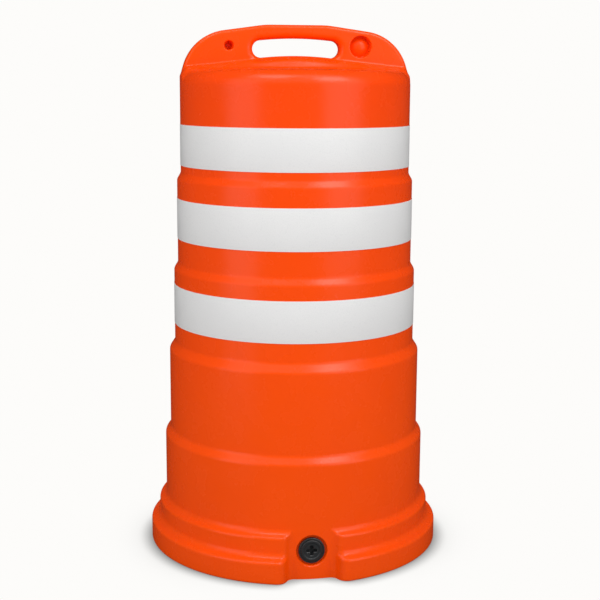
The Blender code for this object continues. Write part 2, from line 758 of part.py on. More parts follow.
def build():
    orange = make_material("orange_polyethylene", ORANGE_POLYETHYLENE)
    white = make_material("white_reflective_sheeting", WHITE_REFLECTIVE_SHEETING)
    black = make_material("black_polypropylene", BLACK_POLYPROPYLENE)
    rubber = make_material("black_rubber", BLACK_RUBBER)

    smooth(drum_shell(orange))
    for name, tier, middle in zip(BAND_NAMES, TIERS, BAND_MIDDLES):
        smooth(reflective_band(name, tier[0], middle, white))

    front = (math.radians(90.0), 0.0, 0.0)
    drain_axis = add_axis("drain_axis", (0.0, DRAIN_SEAT_Y, DRAIN_HEIGHT), front)
    smooth(drain_bushing(drain_axis, black))
    smooth(drain_gasket(drain_axis, rubber))
    smooth(drain_plug(drain_axis, black))

    fill_axis = add_axis("fill_axis", (0.0, FILL_Y, FILL_SEAT_Z))
    smooth(fill_neck(fill_axis, black))
    smooth(fill_gasket(fill_axis, rubber))
    smooth(fill_cap(fill_axis, black))


build()
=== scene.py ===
import math

import bmesh
import bpy
import numpy as np
from mathutils import Matrix, Vector


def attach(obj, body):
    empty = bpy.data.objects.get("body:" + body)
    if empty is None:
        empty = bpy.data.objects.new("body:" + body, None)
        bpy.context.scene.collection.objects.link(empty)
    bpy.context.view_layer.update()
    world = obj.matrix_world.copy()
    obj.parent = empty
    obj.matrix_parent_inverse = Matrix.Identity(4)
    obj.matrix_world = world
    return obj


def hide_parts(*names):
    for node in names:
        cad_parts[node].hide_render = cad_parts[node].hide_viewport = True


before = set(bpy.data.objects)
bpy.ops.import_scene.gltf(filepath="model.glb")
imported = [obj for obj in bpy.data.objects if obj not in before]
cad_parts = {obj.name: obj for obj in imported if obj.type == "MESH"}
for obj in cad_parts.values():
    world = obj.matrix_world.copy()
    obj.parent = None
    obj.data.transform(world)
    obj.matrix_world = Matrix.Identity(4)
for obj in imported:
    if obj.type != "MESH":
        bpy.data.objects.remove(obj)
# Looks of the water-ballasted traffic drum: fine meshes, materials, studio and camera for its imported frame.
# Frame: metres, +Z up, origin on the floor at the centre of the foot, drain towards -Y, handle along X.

MM = 0.001

# Shell: the frame's tiers, with the fillets that the photo shows
WALL = 3.5 * MM
FOOT_RADIUS = 280.0 * MM
CROWN = 910.0 * MM
SHOULDER = 904.5 * MM
SHOULDER_FILLET = 27.0 * MM
FOOT_FILLET = 4.0 * MM
TIER_FILLET = 6.0 * MM
LEDGE_HOLLOW = 12.0 * MM
LEDGE_ROUND = 11.0 * MM
LOW_LEDGE_ROUND = 6.0 * MM
# Below this height the ledges are sharper, and the tank no longer follows the tiers
LOW_LEDGES = 100.0 * MM
# Radius, upper edge and lower edge of each tier, from the top tier to the foot ring
TIERS = (
    (216.0 * MM, SHOULDER, 715.0 * MM),
    (223.1 * MM, 703.0 * MM, 545.0 * MM),
    (230.4 * MM, 533.0 * MM, 394.0 * MM),
    (240.6 * MM, 378.5 * MM, 226.0 * MM),
    (250.5 * MM, 213.0 * MM, 88.5 * MM),
    (263.5 * MM, 81.0 * MM, 48.0 * MM),
    (FOOT_RADIUS, 40.5 * MM, 0.0),
)
TOP_RADIUS = TIERS[0][0]

# Handle plate, ridge and slot
HANDLE_HALF = 20.0 * MM
HANDLE_EDGE = 7.0 * MM
HANDLE_TOP = 988.0 * MM
HANDLE_FOOT = 884.0 * MM
CORNER_CENTRE = (123.0 * MM, 888.0 * MM)
CORNER_RADIUS = 90.0 * MM
CORNER_FROM, CORNER_TO = 12.0, 81.3
HANDLE_TOP_HALF = 58.0 * MM
HANDLE_TOP_FILLET = 160.0 * MM
RIDGE_HALF = 215.5 * MM
RIDGE_SIDE = 20.0 * MM
RIDGE_BOTTOM = 850.0 * MM
# Each end of the ridge: how far a corner lies in from the end, its height and its fillet
RIDGE_END = ((0.0, 893.0 * MM, 14.0 * MM), (8.0 * MM, 909.5 * MM, 12.0 * MM))
RIDGE_PEAK = (0.0, 932.0 * MM, 230.0 * MM)
SLOT_HALF_LENGTH = 82.0 * MM
SLOT_HALF_HEIGHT = 16.0 * MM
SLOT_MIDDLE = 944.0 * MM
SLOT_ARCH = 3.6 * MM

# Pockets in the handle's front
PIN_POCKET = (-125.8 * MM, 949.5 * MM)
PIN_POCKET_RADII = (9.0 * MM, 5.5 * MM)
PIN_POCKET_DEPTH = 22.0 * MM
ROUND_POCKET = (120.8 * MM, 949.0 * MM)
ROUND_POCKET_RADIUS = 20.3 * MM
ROUND_POCKET_DEPTH = 17.0 * MM
ROUND_POCKET_DOME = 9.0 * MM
ROUND_POCKET_TAPER = 0.06
POCKET_CORNER = 1.5 * MM

# Fillets where the shapes of the top meet
POCKET_RIM = 2.0 * MM
BOSS_EDGE = 2.0 * MM
BOSS_FILLET = 3.0 * MM
RIDGE_FILLET = 9.0 * MM
HANDLE_FILLET = 5.0 * MM
SLOT_RIM = 13.0 * MM

# Notch in the foot and the drain's counterbore
NOTCH_FLOOR = 250.6 * MM
NOTCH_HALF_INNER = 43.0 * MM
NOTCH_FLARE = 0.50
NOTCH_CORNER = 9.0 * MM
NOTCH_LIP_WIDTH = 15.0 * MM
# The search for the notch's surface: how far behind its floor it starts, and its halvings
NOTCH_SEARCH = 10.0 * MM
NOTCH_HALVINGS = 24
DRAIN_HEIGHT = 53.0 * MM
SEAT_Y = -242.8 * MM
COUNTERBORE_RADIUS = 27.6 * MM
COUNTERBORE_LIP = 31.6 * MM
TANK_BEHIND_NOTCH = 236.0 * MM
TANK_STEP_OVER_NOTCH = 92.0 * MM
CUT_LENGTH = 30.0 * MM

# Fill port
FILL_Y = 115.0 * MM
FILL_BOSS_RADIUS = 35.0 * MM

# Grid of the top, in millimetres: stretches (start, end, spacing)
GRID_X = ((-220, 220, 3.0),)
GRID_Y = ((-220, -44, 5.0), (-44, 44, 2.2), (44, 220, 5.0))
GRID_Z = ((866, 890, 2.5), (890, 992, 2.25))
# Where the ring rows of the body hand over to the net of the top
SEAM_Z = GRID_Z[0][0] * MM
SEAM_SLACK = 0.3 * MM
SOLE_SHRINK = 0.97

# Ring rows of the body: steps round the front and round the rest, in degrees, and low rows, in millimetres
FRONT_HALF, FRONT_STEP, REST_STEP = 18.0, 0.3, 1.8
LOW_ROWS = (6.0, 100.0, 1.8)
ROW_ROUNDING = 0.5 * MM

# Reflective bands: name and middle height, from the top tier down
BAND_HEIGHT = 76.0 * MM
BAND_THICKNESS = 0.5 * MM
BAND_GAP = 0.12 * MM
BAND_LAP = 16.0 * MM
BAND_LAP_RAMP = 10.0 * MM
BAND_LAP_GAP = 0.06 * MM
BAND_STEPS = 288
BANDS = (("upper_band", 767.2 * MM), ("middle_band", 630.2 * MM), ("lower_band", 468.0 * MM))

# Screw fittings: radii, and heights over the seat of each port
PITCH = 4.0 * MM
THREAD_DEPTH = 1.3 * MM
THREAD_LAND, THREAD_FLANK = 0.12 * PITCH, 0.30 * PITCH
THREAD_FADE = 0.8 * PITCH
THREAD_ROW_STEP = 0.25 * MM
SHANK_LENGTH = 15.0 * MM
PLAIN_SHANK = 0.5 * MM
THREAD_CLEARANCE = 0.4 * MM
SEAT_GAP = 0.3 * MM
FITTING_STEPS = 112

DRAIN_BARREL_RADIUS = 18.0 * MM
DRAIN_BARREL_LENGTH = 22.0 * MM
DRAIN_THREAD_RADIUS = 14.6 * MM
DRAIN_FLANGE_RADIUS = 24.0 * MM
DRAIN_FLANGE_TOP = 6.0 * MM
DRAIN_POCKET_RADIUS = 20.2 * MM
DRAIN_POCKET_FLOOR = 2.3 * MM
DRAIN_SEAL_INNER = 15.4 * MM
DRAIN_SEAL_THICKNESS = 1.6 * MM
DRAIN_HEAD_RADIUS = 19.8 * MM
DRAIN_HEAD_TOP = 7.5 * MM
DRAIN_HEAD_UNDER = DRAIN_POCKET_FLOOR + DRAIN_SEAL_THICKNESS + 2 * SEAT_GAP
DRAIN_FACE_RADIUS = 14.8 * MM
DRAIN_FACE_TOP = 5.7 * MM
DRAIN_RIM_INNER = 15.6 * MM
DRAIN_TIP_EDGE = 1.6 * MM
KEY_REACH = 9.5 * MM
KEY_HALF = 3.25 * MM
# Growth of the key recess, and its height over the plug's face
KEY_SECTIONS = (
    (-0.7 * MM, -9.0 * MM),
    (-0.1 * MM, -8.2 * MM),
    (0.0, -0.45 * MM),
    (0.45 * MM, 0.0),
    (0.45 * MM, 6.0 * MM),
)

FILL_BARREL_RADIUS = 24.0 * MM
FILL_BARREL_LENGTH = 24.0 * MM
FILL_THREAD_RADIUS = 20.0 * MM
FILL_FLANGE_RADIUS = 31.5 * MM
FILL_FLANGE_TOP = 3.8 * MM
FILL_SEAL_INNER = 20.9 * MM
FILL_SEAL_OUTER = 27.5 * MM
FILL_SEAL_THICKNESS = 1.8 * MM
FILL_SHANK_WALL = 3.0 * MM
FILL_TIP_EDGE = 0.8 * MM
CAP_RADIUS = 30.0 * MM
CAP_UNDER = FILL_FLANGE_TOP + FILL_SEAL_THICKNESS + 2 * SEAT_GAP
CAP_TOP = CAP_UNDER + 4.5 * MM
CAP_RIBS = 40
CAP_RIB_DEPTH = 0.7 * MM
CAP_RIB_FROM = CAP_RADIUS - 1.2 * MM
GRIP_SIZE = (46.0 * MM, 8.0 * MM, 12.0 * MM)
GRIP_SINK = 2.0 * MM
GRIP_EDGE = 2.4 * MM

# Colours, linear
ORANGE_LOW = (0.985, 0.0800, 0.0002)
ORANGE_HIGH = (0.985, 0.0630, 0.0002)
ORANGE_MOTTLE = (0.90, 0.0620, 0.0002)
SHEETING_DARK, SHEETING_LIGHT = (0.775, 0.775, 0.778), (0.800, 0.798, 0.798)
SHEETING_CELL_EDGE = (0.735, 0.735, 0.74)
POLYPROPYLENE, POLYPROPYLENE_SCUFF = (0.024, 0.026, 0.028), (0.055, 0.054, 0.054)
RUBBER, RUBBER_BLOOM = (0.010, 0.010, 0.010), (0.030, 0.029, 0.028)
PAPER = (0.982, 0.973, 0.956)
# Heights over which the orange turns from its low to its high colour, and back again on the handle
ORANGE_TURNS = (0.25, 0.85)
ORANGE_TURNS_BACK = (0.895, 0.930)

# Camera, surround and the floor's painted shadow
CAMERA_AT = Vector((-0.3165, -2.2829, 0.8812))
CAMERA_YAW, CAMERA_PITCH, CAMERA_ROLL = math.radians(8.18), math.radians(10.176), math.radians(0.33)
CAMERA_LENS = 72.38
FILL_STRENGTH, MIRROR_STRENGTH = 0.47, 0.02
FLOOR_RADIUS = 30.0
PAINTED_CONTACT_SHADE_REACH = 30.0 * MM
PAINTED_SHADOW_REACH, PAINTED_SHADOW_DEPTH = 20.0 * MM, 0.28
LIGHTS_AIM = Vector((0.0, 0.0, 0.5))

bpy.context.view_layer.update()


# Shapes given as distances: negative inside, zero on the surface

def smooth_union(a, b, width):
    """The nearer of two surfaces, with a fillet where they meet."""
    blend = np.maximum(width - np.abs(a - b), 0.0)
    return np.minimum(a, b) - blend * blend / (4.0 * width)


def smooth_cut(solid, tool, width):
    """A solid less a tool, with the rim of the cut rounded."""
    return -smooth_union(-solid, tool, width)


def rounded_corner(a, b, radius):
    """Inside both faces a and b, with the edge between them rounded."""
    outside = np.hypot(np.maximum(a + radius, 0.0), np.maximum(b + radius, 0.0))
    return outside + np.minimum(np.maximum(a, b) + radius, 0.0) - radius


def outline_distance(u, v, outline):
    """Signed distance from (u, v) to a closed outline."""
    nearest = np.inf
    inside = np.zeros(np.broadcast(u, v).shape, bool)
    for (u0, v0), (u1, v1) in zip(outline, outline[1:] + outline[:1]):
        du = u1 - u0
        dv = v1 - v0
        along = np.clip(((u - u0) * du + (v - v0) * dv) / (du * du + dv * dv), 0.0, 1.0)
        nearest = np.minimum(nearest, np.hypot(u - u0 - along * du, v - v0 - along * dv))
        if dv != 0.0:
            inside ^= ((v0 <= v) != (v1 <= v)) & (u < u0 + (v - v0) * du / dv)
    return np.where(inside, -nearest, nearest)


def arc(centre, radius, start, end, step=4.0):
    """Points of an arc, in degrees, both ends included."""
    count = max(2, math.ceil(abs(end - start) / step - 0.01))
    angles = [math.radians(start + (end - start) * k / count) for k in range(count + 1)]
    return [(centre[0] + radius * math.cos(a), centre[1] + radius * math.sin(a)) for a in angles]


def filleted(corners, step=6.0, closed=False):
    """An outline through corners (u, v, fillet radius), each fillet drawn as an arc."""
    ring = [Vector(corner[:2]) for corner in corners]
    count = len(ring)
    points = []
    for k, (here, corner) in enumerate(zip(ring, corners)):
        radius = corner[2]
        if radius == 0.0 or (not closed and k in (0, count - 1)):
            points.append(tuple(here))
            continue
        back = (ring[k - 1] - here).normalized()
        ahead = (ring[(k + 1) % count] - here).normalized()
        half = math.acos(max(-1.0, min(1.0, back.dot(ahead)))) / 2
        centre = here + (back + ahead).normalized() * radius / math.sin(half)
        first = here + back * radius / math.tan(half) - centre
        last = here + ahead * radius / math.tan(half) - centre
        turn = math.degrees(math.atan2(first.cross(last), first.dot(last)))
        start = math.degrees(math.atan2(first.y, first.x))
        points += arc(centre, radius, start, start + turn, step)
    return points


def handle_outline():
    """Front view of the handle plate."""
    right = arc(CORNER_CENTRE, CORNER_RADIUS, CORNER_FROM, CORNER_TO, 3.0)
    right.insert(0, (right[0][0], HANDLE_FOOT))
    crown = [(side * HANDLE_TOP_HALF, HANDLE_TOP, HANDLE_TOP_FILLET) for side in (1, -1)]
    ends = [(*right[-1], 0.0), *crown, (-right[-1][0], right[-1][1], 0.0)]
    left = [(-x, z) for x, z in reversed(right)]
    return right[:-1] + filleted(ends, 1.5) + left[1:]


def ridge_outline():
    """Front view of the rounded ridge under the handle: a low gable with a round crest and round ends."""
    right = [(RIDGE_HALF, RIDGE_BOTTOM, 0.0)]
    right += [(RIDGE_HALF - inset, z, fillet) for inset, z, fillet in RIDGE_END]
    left = [(-x, z, fillet) for x, z, fillet in reversed(right)]
    return filleted([*right, RIDGE_PEAK, *left], 2.0, closed=True)


HANDLE_OUTLINE = handle_outline()
RIDGE_OUTLINE = ridge_outline()


def slot_distance(x, z):
    end = SLOT_HALF_LENGTH - SLOT_HALF_HEIGHT
    arch = SLOT_ARCH * np.maximum(1.0 - (x / end) ** 2, 0.0)
    return np.hypot(np.maximum(np.abs(x) - end, 0.0), z - SLOT_MIDDLE - arch) - SLOT_HALF_HEIGHT


def pin_pocket_distance(x, y, z):
    depth = y + HANDLE_HALF
    mouth, end = PIN_POCKET_RADII
    taper = (mouth - end) / PIN_POCKET_DEPTH
    side = np.hypot(x - PIN_POCKET[0], z - PIN_POCKET[1]) - mouth + taper * depth
    return rounded_corner(side, depth - PIN_POCKET_DEPTH, POCKET_CORNER)


def round_pocket_distance(x, y, z):
    depth = y + HANDLE_HALF
    out = np.hypot(x - ROUND_POCKET[0], z - ROUND_POCKET[1])
    side = out - ROUND_POCKET_RADIUS + ROUND_POCKET_TAPER * depth
    dome = ROUND_POCKET_DOME * np.maximum(1.0 - (out / ROUND_POCKET_RADIUS) ** 2, 0.0)
    return rounded_corner(side, depth - ROUND_POCKET_DEPTH + dome, POCKET_CORNER)


def fill_boss_distance(x, y, z):
    return rounded_corner(np.hypot(x, y - FILL_Y) - FILL_BOSS_RADIUS, z - CROWN, BOSS_EDGE)


def top_distance(x, y, z):
    """The top of the shell: shoulder and deck, ridge, fill boss, and the handle with its slot and pockets."""
    r = np.hypot(x, y)
    slope = (CROWN - SHOULDER) / TOP_RADIUS
    deck = (z - CROWN + slope * r) / math.hypot(1.0, slope)
    drum = rounded_corner(r - TOP_RADIUS, deck, SHOULDER_FILLET)
    ridge_side = np.abs(y) - HANDLE_HALF - RIDGE_SIDE
    ridge = rounded_corner(outline_distance(x, z, RIDGE_OUTLINE), ridge_side, RIDGE_SIDE)
    plate = rounded_corner(outline_distance(x, z, HANDLE_OUTLINE), np.abs(y) - HANDLE_HALF, HANDLE_EDGE)
    plate = smooth_cut(plate, pin_pocket_distance(x, y, z), POCKET_RIM)
    plate = smooth_cut(plate, round_pocket_distance(x, y, z), POCKET_RIM)
    solid = smooth_union(drum, fill_boss_distance(x, y, z), BOSS_FILLET)
    solid = smooth_union(solid, ridge, RIDGE_FILLET)
    solid = smooth_union(solid, plate, HANDLE_FILLET)
    solid = np.maximum(solid, r - TOP_RADIUS)
    return smooth_cut(solid, slot_distance(x, z), SLOT_RIM)


# Meshing a distance

def lines(*stretches):
    """Grid lines through stretches (start, end, spacing), given in millimetres."""
    found = []
    for start, end, spacing in stretches:
        count = max(1, round((end - start) / spacing))
        found.append(np.linspace(start, end, count, endpoint=False))
    found.append(np.array([stretches[-1][1]]))
    return np.concatenate(found) * MM


def gradient(distance, points, step=0.04 * MM):
    """Direction and rate of change of a distance at points (3 rows)."""
    sides = []
    for axis in range(3):
        ahead = points.copy()
        behind = points.copy()
        ahead[axis] += step
        behind[axis] -= step
        sides.append((distance(*ahead) - distance(*behind)) / (2.0 * step))
    return np.array(sides)


def settle(distance, points, rounds=4):
    """Moves points onto the surface, along the gradient."""
    for _ in range(rounds):
        slope = gradient(distance, points)
        points = points - slope * distance(*points) / np.maximum((slope**2).sum(0), 1e-6)
    return points


def surface_net(distance, xs, ys, zs):
    """Quads over a surface, with a vertex in each grid cell it crosses. Returns points (3 rows) and quads."""
    axes = (xs, ys, zs)
    value = distance(xs[:, None, None], ys[None, :, None], zs[None, None, :])
    inside = value < 0.0
    cells = tuple(len(ticks) - 1 for ticks in axes)
    total = np.zeros((3, *cells))
    count = np.zeros(cells)
    crossings = []
    for axis in range(3):
        low = tuple(slice(None, -1) if k == axis else slice(None) for k in range(3))
        high = tuple(slice(1, None) if k == axis else slice(None) for k in range(3))
        crossing = inside[low] != inside[high]
        crossings.append(crossing)
        share = np.where(crossing, value[low] / np.where(crossing, value[low] - value[high], 1.0), 0.0)
        place = []
        for k, ticks in enumerate(axes):
            shape = [1, 1, 1]
            shape[k] = -1
            start = (ticks[:-1] if k == axis else ticks).reshape(shape)
            span = np.diff(ticks).reshape(shape) * share if k == axis else 0.0
            place.append(np.where(crossing, start + span, 0.0))
        others = [k for k in range(3) if k != axis]
        for step_a in (0, 1):
            for step_b in (0, 1):
                part = [slice(None)] * 3
                part[others[0]] = slice(step_a, cells[others[0]] + step_a)
                part[others[1]] = slice(step_b, cells[others[1]] + step_b)
                count += crossing[tuple(part)]
                for k in range(3):
                    total[k] += place[k][tuple(part)]
    active = count > 0
    number = np.full(cells, -1)
    number[active] = np.arange(active.sum())
    points = settle(distance, total[:, active] / count[active])
    quads = []
    for axis in range(3):
        b, c = (axis + 1) % 3, (axis + 2) % 3
        inner = [slice(None)] * 3
        inner[b] = slice(1, -1)
        inner[c] = slice(1, -1)
        index = list(np.nonzero(crossings[axis][tuple(inner)]))
        corner = []
        for step_b, step_c in ((0, 0), (1, 0), (1, 1), (0, 1)):
            cell = list(index)
            cell[b] = index[b] + step_b
            cell[c] = index[c] + step_c
            corner.append(number[tuple(cell)])
        node = list(index)
        node[b] = index[b] + 1
        node[c] = index[c] + 1
        outward = inside[tuple(node)]
        quad = np.array(corner).T
        quads.append(np.where(outward[:, None], quad, quad[:, ::-1]))
    return points, np.concatenate(quads)


# The body below the top: rings of the stepped profile, with the notch pressed into them

def body_profile():
    """Half section of the tiers from the floor up, as (radius, height)."""
    corners = [(FOOT_RADIUS - 2.0 * FOOT_FILLET, 0.0, 0.0), (FOOT_RADIUS, 0.0, FOOT_FILLET)]
    for radius, upper, lower in reversed(TIERS):
        if lower > 0.0:
            corners.append((radius, lower, LEDGE_HOLLOW))
        if upper < SHOULDER:
            corners.append((radius, upper, LOW_LEDGE_ROUND if upper < LOW_LEDGES else LEDGE_ROUND))
    corners.append((TOP_RADIUS, SEAM_Z, 0.0))
    return filleted(corners)


def body_radius(angle, z, profile):
    """Radius of the shell at an angle from -Y and a height, with the notch in the foot rings, by halving."""
    free = np.interp(z, profile[:, 1], profile[:, 0])
    lip = np.clip(0.8 * (free - NOTCH_FLOOR), 0.01 * MM, NOTCH_LIP_WIDTH)
    low = np.minimum(free, NOTCH_FLOOR) - NOTCH_SEARCH
    high = free.copy()
    for _ in range(NOTCH_HALVINGS):
        middle = (low + high) / 2
        half = NOTCH_HALF_INNER + NOTCH_FLARE * (middle * np.cos(angle) - NOTCH_FLOOR)
        side = (middle * np.abs(np.sin(angle)) - half) / math.hypot(1.0, NOTCH_FLARE)
        notch = rounded_corner(side, NOTCH_FLOOR - middle, NOTCH_CORNER)
        beyond = smooth_cut(middle - free, notch, lip) > 0.0
        high = np.where(beyond, middle, high)
        low = np.where(beyond, low, middle)
    return (low + high) / 2


def body_rings():
    """Rows of points round the body from the floor to the seam, each row in the same order of angle."""
    profile = np.array(body_profile())[1:]
    front = np.arange(-FRONT_HALF, FRONT_HALF, FRONT_STEP)
    rest = np.arange(FRONT_HALF, 360.0 - FRONT_HALF, REST_STEP)
    angles = np.radians(np.concatenate([front, rest]))
    rows = np.concatenate([profile[:, 1], lines(LOW_ROWS)])
    heights = np.unique(np.round(rows / ROW_ROUNDING)) * ROW_ROUNDING
    angle, z = np.meshgrid(angles, heights)
    r = body_radius(angle, z, profile)
    return np.array([r * np.sin(angle), -r * np.cos(angle), z])


def ring_quads(rows, columns):
    """Quads between the rows of a closed tube of points, facing out for rows that rise."""
    row, column = np.meshgrid(np.arange(rows - 1), np.arange(columns), indexing="ij")
    after = (column + 1) % columns
    a = row * columns + column
    b = row * columns + after
    return np.stack([a, b, b + columns, a + columns], axis=-1).reshape(-1, 4)


def zip_rings(lower, upper, points):
    """Triangles between two loops of vertex numbers, both sorted by angle."""
    def turn(index):
        return math.atan2(points[1][index], points[0][index])
    faces = []
    a = b = 0
    while a < len(lower) or b < len(upper):
        a_now, b_now = lower[a % len(lower)], upper[b % len(upper)]
        a_next, b_next = lower[(a + 1) % len(lower)], upper[(b + 1) % len(upper)]
        a_turn = turn(a_next) + (2 * math.pi if a + 1 >= len(lower) else 0.0)
        b_turn = turn(b_next) + (2 * math.pi if b + 1 >= len(upper) else 0.0)
        if b >= len(upper) or (a < len(lower) and a_turn < b_turn):
            faces.append((a_now, a_next, b_now))
            a += 1
        else:
            faces.append((a_now, b_next, b_now))
            b += 1
    return faces


def by_angle(numbers, points):
    """Vertex numbers in the order of their angle round Z."""
    return sorted(numbers, key=lambda n: math.atan2(points[1][n], points[0][n]))


def shell_mesh():
    """The outer surface of the shell, closed underneath."""
    top, top_quads = surface_net(top_distance, lines(*GRID_X), lines(*GRID_Y), lines(*GRID_Z))
    rings = body_rings()
    rows, columns = rings.shape[1:]
    body = rings.reshape(3, -1)
    body_count = body.shape[1]
    sole = rings[:, 0, :] * np.array([SOLE_SHRINK, SOLE_SHRINK, 1.0])[:, None]
    points = np.concatenate([body, sole, top], axis=1)
    quads = [tuple(q) for q in ring_quads(rows, columns)]
    under = body_count + np.arange(columns)
    quads += [(under[k], under[(k + 1) % columns], (k + 1) % columns, k) for k in range(columns)]
    quads.append(tuple(reversed(under)))
    offset = body_count + columns
    quads += [tuple(q) for q in top_quads + offset]
    lowest = top[2].min()
    seam_top = [offset + k for k in np.nonzero(top[2] < lowest + SEAM_SLACK)[0]]
    seam_body = list(range((rows - 1) * columns, rows * columns))
    quads += zip_rings(by_angle(seam_body, points), by_angle(seam_top, points), points)
    mesh = bpy.data.meshes.new("shell")
    mesh.from_pydata(points.T.tolist(), [], [[int(n) for n in q] for q in quads])
    mesh.update()
    return mesh


# Turned and lofted pieces

def lathe(name, outline, steps, closed=False, shape=None):
    """Turns an outline (r, z), which runs down its outer side, about Z. shape(angle, r, z) may change r."""
    points = []
    rows = []
    for r, z in outline:
        if r == 0.0:
            rows.append([len(points)])
            points.append((0.0, 0.0, z))
            continue
        rows.append(list(range(len(points), len(points) + steps)))
        for k in range(steps):
            angle = 2.0 * math.pi * k / steps
            out = shape(angle, r, z) if shape else r
            points.append((out * math.cos(angle), out * math.sin(angle), z))
    faces = []
    for upper, lower in zip(rows, rows[1:] + (rows[:1] if closed else [])):
        for k in range(steps):
            n = (k + 1) % steps
            if len(upper) == 1:
                faces.append((upper[0], lower[k], lower[n]))
            elif len(lower) == 1:
                faces.append((upper[k], lower[0], upper[n]))
            else:
                faces.append((upper[k], lower[k], lower[n], upper[n]))
    mesh = bpy.data.meshes.new(name)
    mesh.from_pydata(points, [], faces)
    return mesh


def loft(name, outlines, heights):
    """A closed solid through plan outlines of equal count, from the lowest height up."""
    count = len(outlines[0])
    points = [(x, y, z) for outline, z in zip(outlines, heights) for x, y in outline]
    faces = [tuple(reversed(range(count)))]
    for row in range(len(outlines) - 1):
        for k in range(count):
            n = (k + 1) % count
            base = row * count
            faces.append((base + k, base + n, base + count + n, base + count + k))
    faces.append(tuple(range(len(points) - count, len(points))))
    mesh = bpy.data.meshes.new(name)
    mesh.from_pydata(points, [], faces)
    return mesh


def add(mesh, name):
    obj = bpy.data.objects.new(name, mesh)
    bpy.context.scene.collection.objects.link(obj)
    return obj


def combined(obj, operation, *others):
    """Applies a Boolean with each of the others, which are then removed."""
    for other in others:
        modifier = obj.modifiers.new(operation.lower(), "BOOLEAN")
        modifier.operation = operation
        modifier.object = other
        modifier.solver = "EXACT"
    graph = bpy.context.evaluated_depsgraph_get()
    made = bpy.data.meshes.new_from_object(obj.evaluated_get(graph))
    obj.modifiers.clear()
    obj.data = made
    for other in others:
        bpy.data.objects.remove(other)


def smooth(obj, angle=35.0):
    obj.data.shade_smooth()
    obj.data.set_sharp_from_angle(angle=math.radians(angle))
    return obj


def towards_front(mesh):
    """Stands a mesh made about +Z on the drain's axis, its +Z facing -Y."""
    place = Matrix.Translation((0.0, SEAT_Y, DRAIN_HEIGHT))
    mesh.transform(place @ Matrix.Rotation(math.radians(90.0), 4, "X"))
    return mesh


def on_deck(mesh):
    """Stands a mesh made about +Z on the fill port's axis."""
    mesh.transform(Matrix.Translation((0.0, FILL_Y, CROWN)))
    return mesh


def finish_piece(obj, body, slot, material, *nodes):
    """Gives a piece its material, and ties it to its body and CAD nodes; its slot argument is not used."""
    obj.data.materials.clear()
    obj.data.materials.append(material)
    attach(obj, body)
    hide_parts(*nodes)


# Moulded shell

def tank_outline():
    """Half section of the hollow tank, from the deck down; it stays inside the notch and the counterbore."""
    corners = [(0.0, CROWN - WALL, 0.0)]
    for radius, upper, lower in TIERS[:5]:
        inner = radius - WALL
        top_edge = upper - (WALL if upper == SHOULDER else WALL / 2)
        fillet = SHOULDER_FILLET - WALL if upper == SHOULDER else TIER_FILLET
        corners.append((inner, top_edge, fillet))
        corners.append((inner, LOW_LEDGES if lower < LOW_LEDGES else lower - WALL / 2, TIER_FILLET))
    corners.append((TANK_BEHIND_NOTCH, TANK_STEP_OVER_NOTCH, TIER_FILLET))
    corners.append((TANK_BEHIND_NOTCH, WALL, TIER_FILLET))
    corners.append((0.0, WALL, 0.0))
    return filleted(corners, 15.0)


def counterbore_outline():
    """The recess in front of the drain, with a soft lip, and the hole behind it for the insert's barrel."""
    hole = DRAIN_BARREL_RADIUS + SEAT_GAP
    flared = COUNTERBORE_LIP + 2.6 * MM
    front = 25.0 * MM
    return filleted(
        [
            (0.0, front, 0.0),
            (flared, front, 0.0),
            (flared, 9.0 * MM, 0.0),
            (COUNTERBORE_LIP - 1.8 * MM, 7.4 * MM, 3.0 * MM),
            (COUNTERBORE_RADIUS, 4.2 * MM, 3.0 * MM),
            (COUNTERBORE_RADIUS, 0.0, 1.0 * MM),
            (hole, 0.0, 0.0),
            (hole, -CUT_LENGTH, 0.0),
            (0.0, -CUT_LENGTH, 0.0),
        ],
        9.0,
    )


def moulded_shell(material):
    shell = add(shell_mesh(), "moulded_shell")
    tank = add(lathe("tank", tank_outline(), 90), "tank")
    drain = add(towards_front(lathe("drain_cut", counterbore_outline(), 96)), "drain_cut")
    hole = FILL_BARREL_RADIUS + SEAT_GAP
    fill_cut = [(0.0, CUT_LENGTH), (hole, CUT_LENGTH), (hole, -CUT_LENGTH), (0.0, -CUT_LENGTH)]
    fill = add(on_deck(lathe("fill_cut", fill_cut, 64)), "fill_cut")
    combined(shell, "DIFFERENCE", tank, drain, fill)
    smooth(shell, 38.0)
    exact_normals(shell.data)
    finish_piece(shell, "drum", "orange_polyethylene", material, "drum_shell")


def exact_normals(mesh):
    """Gives the top of the shell the normals of its own formula, so that its fillets shade evenly."""
    points = np.empty(len(mesh.vertices) * 3)
    mesh.vertices.foreach_get("co", points)
    points = points.reshape(-1, 3).T
    high = np.nonzero(points[2] > SEAM_Z + 1.0 * MM)[0]
    on_surface = np.abs(top_distance(*points[:, high])) < 0.02 * MM
    high = high[on_surface]
    slope = gradient(top_distance, points[:, high])
    normal_of = np.zeros((len(mesh.vertices), 3))
    normal_of[high] = (slope / np.linalg.norm(slope, axis=0)).T
    known = np.zeros(len(mesh.vertices), bool)
    known[high] = True
    corners = np.empty(len(mesh.loops), int)
    mesh.loops.foreach_get("vertex_index", corners)
    normals = np.empty(len(mesh.loops) * 3)
    mesh.corner_normals.foreach_get("vector", normals)
    normals = normals.reshape(-1, 3)
    agree = known[corners] & ((normals * normal_of[corners]).sum(1) > 0.7)
    normals[agree] = normal_of[corners][agree]
    mesh.normals_split_custom_set(normals.tolist())


# Reflective bands

